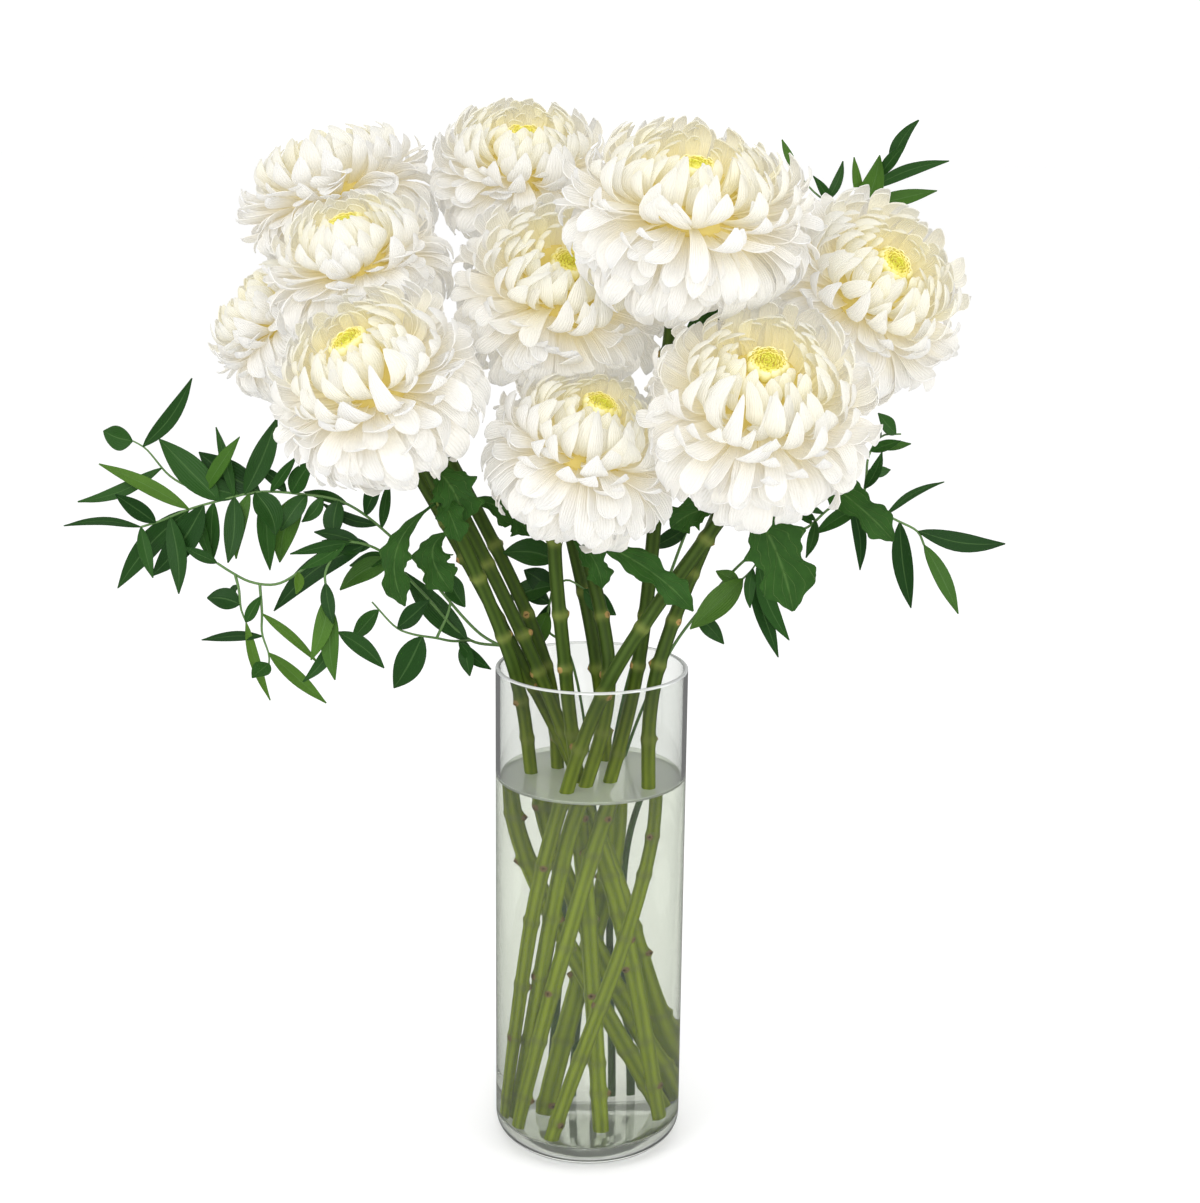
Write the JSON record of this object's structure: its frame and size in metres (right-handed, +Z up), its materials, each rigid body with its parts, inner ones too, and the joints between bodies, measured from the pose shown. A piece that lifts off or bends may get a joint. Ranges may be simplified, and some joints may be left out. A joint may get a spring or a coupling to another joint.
{
  "type": "chrysanthemums in a vase",
  "caption": "White chrysanthemums with trailing ruscus greenery, standing in water in a clear glass cylinder vase.",
  "frame": {"origin": "middle of the vase's foot, on the surface it stands on", "axes": "+Z up the vase, +X to the right and +Y to the back for someone looking at the front"},
  "size_m": [0.5503, 0.2702, 0.625],
  "materials": {
    "vase": "polished",
    "water": "polished",
    "stems": "satin",
    "petals": "matte",
    "florets": "matte",
    "ruscus": "satin"
  },
  "bodies": {
    "root": {"bloom_01": "petals", "bloom_02": "petals", "bloom_03": "petals", "bloom_04": "petals", "bloom_05": "petals", "bloom_06": "petals", "bloom_07": "petals", "bloom_08": "petals", "bloom_09": "petals", "bloom_10": "petals", "eye_01": "florets", "eye_02": "florets", "eye_03": "florets", "eye_04": "florets", "eye_05": "florets", "eye_06": "florets", "eye_07": "florets", "eye_08": "florets", "eye_09": "florets", "eye_10": "florets", "ruscus_lower_left": "ruscus", "ruscus_middle": "ruscus", "ruscus_right": "ruscus", "ruscus_upper_left": "ruscus", "ruscus_upper_right": "ruscus", "stem_01": "stems", "stem_02": "stems", "stem_03": "stems", "stem_04": "stems", "stem_05": "stems", "stem_06": "stems", "stem_07": "stems", "stem_08": "stems", "stem_09": "stems", "stem_10": "stems", "vase": "vase", "water": "water"}
  },
  "joints": []
}
